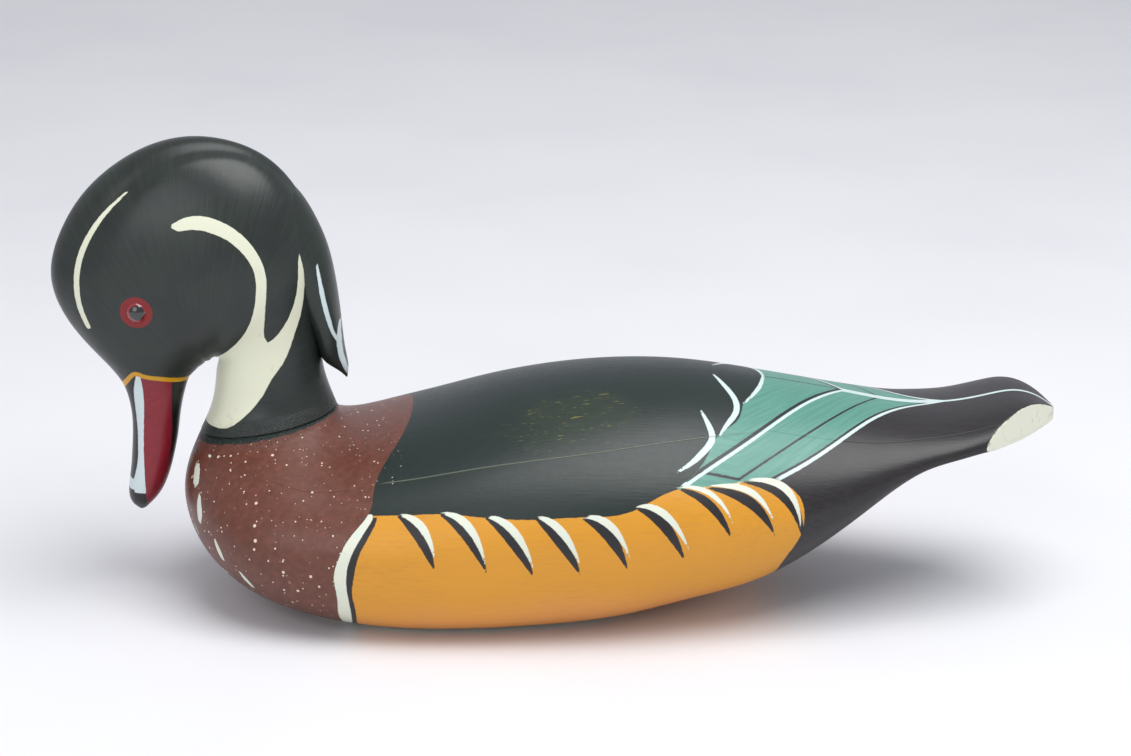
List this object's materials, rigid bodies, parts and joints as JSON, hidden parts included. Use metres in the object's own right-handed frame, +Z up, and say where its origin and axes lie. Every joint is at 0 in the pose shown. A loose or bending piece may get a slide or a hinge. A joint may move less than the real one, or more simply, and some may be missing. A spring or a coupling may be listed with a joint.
{
  "type": "duck decoy",
  "caption": "Carved and painted wooden drake decoy with an arched neck, hanging crest, bill held down over the breast, upturned stub tail and glass eyes. Stands on its flat underside.",
  "frame": {"origin": "on the flat of the underside, in the middle plane, near the middle of the length", "axes": "+X towards the tail, -X towards the bill, +Z up, +Y towards the decoy's right side"},
  "size_m": [0.3994, 0.1504, 0.187],
  "materials": {
    "body_paint": "oil paint over carved wood, chestnut breast, dark green back, golden flank and black rump, semi-gloss, worn",
    "head_paint": "oil paint over carved wood, dark green-black with cream lines, crimson bill, semi-gloss",
    "eye_glass": "polished glass, red iris round a black pupil"
  },
  "bodies": {
    "root": {"body": "body_paint", "head": "head_paint", "eye_left": "eye_glass", "eye_right": "eye_glass"}
  },
  "joints": []
}
